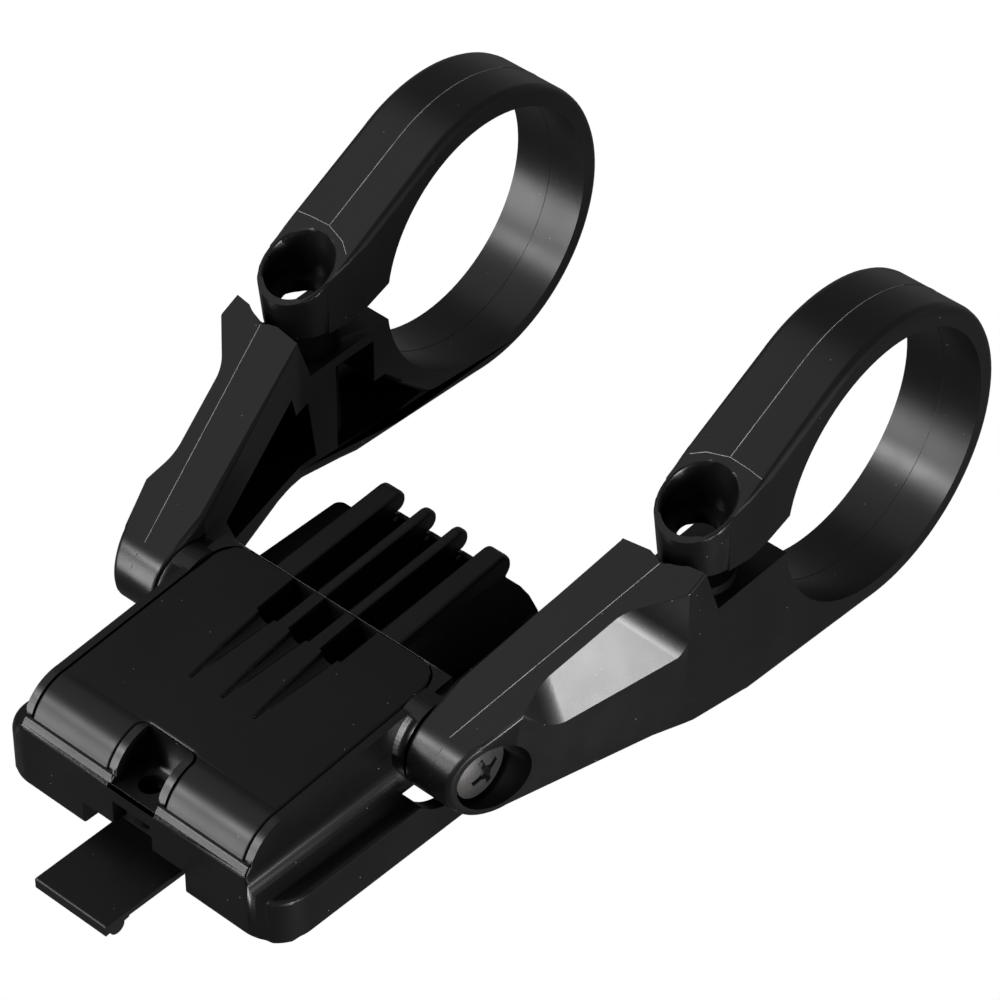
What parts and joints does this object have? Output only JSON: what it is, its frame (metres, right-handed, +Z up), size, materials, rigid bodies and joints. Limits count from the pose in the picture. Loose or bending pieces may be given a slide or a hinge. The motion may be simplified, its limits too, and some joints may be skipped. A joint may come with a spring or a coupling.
{
  "type": "bike display mount",
  "caption": "Handlebar mount for a bicycle display: a ribbed cradle with a release tongue, carried by two tilting clamp arms with round rings.",
  "frame": {"origin": "middle of the handlebar axis, between the two clamp rings", "axes": "+X along the handlebar to the right, -Y towards the release tongue, +Z up out of the cradle's ribbed underside"},
  "size_m": [0.066, 0.1051, 0.0422],
  "materials": {
    "housing": "moulded glass-filled nylon, satin",
    "lid": "moulded polycarbonate blend, fine satin",
    "lid_gasket": "moulded silicone",
    "display_plate": "moulded nylon, fine texture",
    "plate_screws": "stainless steel",
    "circuit_board": "solder mask over glass-fibre laminate",
    "contact_block": "moulded liquid-crystal polymer",
    "contact_pins": "gold-plated brass",
    "contact_seal": "moulded silicone",
    "cable_grommet": "moulded rubber",
    "lock_screw_insert": "steel with a black finish",
    "latch_lever": "moulded acetal",
    "latch_pin": "ground stainless steel",
    "latch_spring": "drawn spring wire",
    "arm": "moulded glass-filled nylon, satin",
    "pivot_screw": "steel with a black finish",
    "pivot_insert": "turned brass",
    "clamp_insert": "steel with a black finish"
  },
  "bodies": {
    "cradle": {"housing": "housing", "lid": "lid", "lid_gasket": "lid_gasket", "display_plate": "display_plate", "plate_screws": "plate_screws", "circuit_board": "circuit_board", "contact_block": "contact_block", "contact_pins": "contact_pins", "contact_seal": "contact_seal", "cable_grommet": "cable_grommet", "lock_screw_insert": "lock_screw_insert", "latch_pin": "latch_pin", "latch_spring": "latch_spring", "left_pivot_screw": "pivot_screw", "right_pivot_screw": "pivot_screw", "left_pivot_insert": "pivot_insert", "right_pivot_insert": "pivot_insert"},
    "right_arm": {"right_arm": "arm", "right_clamp_insert": "clamp_insert"},
    "left_arm": {"left_arm": "arm", "left_clamp_insert": "clamp_insert"},
    "latch": {"latch_lever": "latch_lever"}
  },
  "joints": [
    {"name": "right_arm_tilt", "type": "hinge", "parent": "cradle", "child": "right_arm", "pos_m": [0, -0.052, -0.0125], "axis": [1, 0, 0], "range_deg": [-10, 35]},
    {"name": "left_arm_tilt", "type": "hinge", "parent": "cradle", "child": "left_arm", "pos_m": [0, -0.052, -0.0125], "axis": [1, 0, 0], "range_deg": [-10, 35]},
    {"name": "latch_release", "type": "hinge", "parent": "cradle", "child": "latch", "pos_m": [0, -0.0716, -0.0209], "axis": [-1, 0, 0], "range_deg": [0, 8], "stiffness_Nm_per_rad": 0.15, "springref_deg": -2.86, "deforming": ["latch_spring"]}
  ]
}
